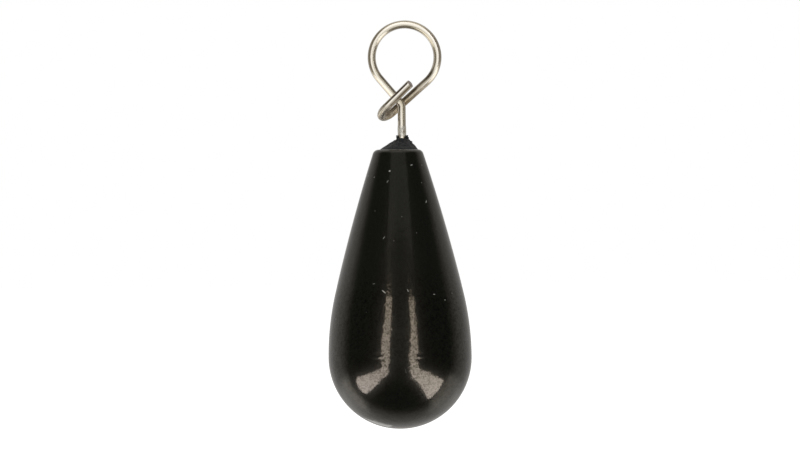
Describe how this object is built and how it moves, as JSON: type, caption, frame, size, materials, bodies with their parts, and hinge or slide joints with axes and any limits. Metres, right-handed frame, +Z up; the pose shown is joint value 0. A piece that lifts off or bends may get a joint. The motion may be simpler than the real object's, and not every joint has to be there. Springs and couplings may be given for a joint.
{
  "type": "fishing sinker",
  "caption": "Black teardrop drop-shot weight, glued onto a small swivel below a wire ring whose crossed leg hooks back to pinch the line.",
  "frame": {"origin": "centre of the clip's ring, where the line goes through", "axes": "+Z up along the line, with the weight hanging below; +Y through the ring, away from the side where the hook's bar lies; +X to the right as the picture shows it"},
  "size_m": [0.0098, 0.0098, 0.0279],
  "materials": {
    "tungsten": "sintered and turned, dull grey",
    "black_lacquer": "baked black lacquer, glossy with a fine orange peel",
    "glue": "cured epoxy, dark and rough",
    "barrel_brass": "turned and swaged",
    "clip_wire": "bright drawn wire, warm nickel"
  },
  "bodies": {
    "clip": {"line_clip": "clip_wire"},
    "weight": {"weight_body": "tungsten", "lacquer_coat": "black_lacquer", "glue_plug": "glue", "swivel_barrel": "barrel_brass", "anchor_eye": "clip_wire"}
  },
  "joints": [
    {"name": "weight_spin", "type": "hinge", "parent": "clip", "child": "weight", "pos_m": [-0.00024, 0, -0.00727], "axis": [0, 0, 1], "continuous": true}
  ]
}
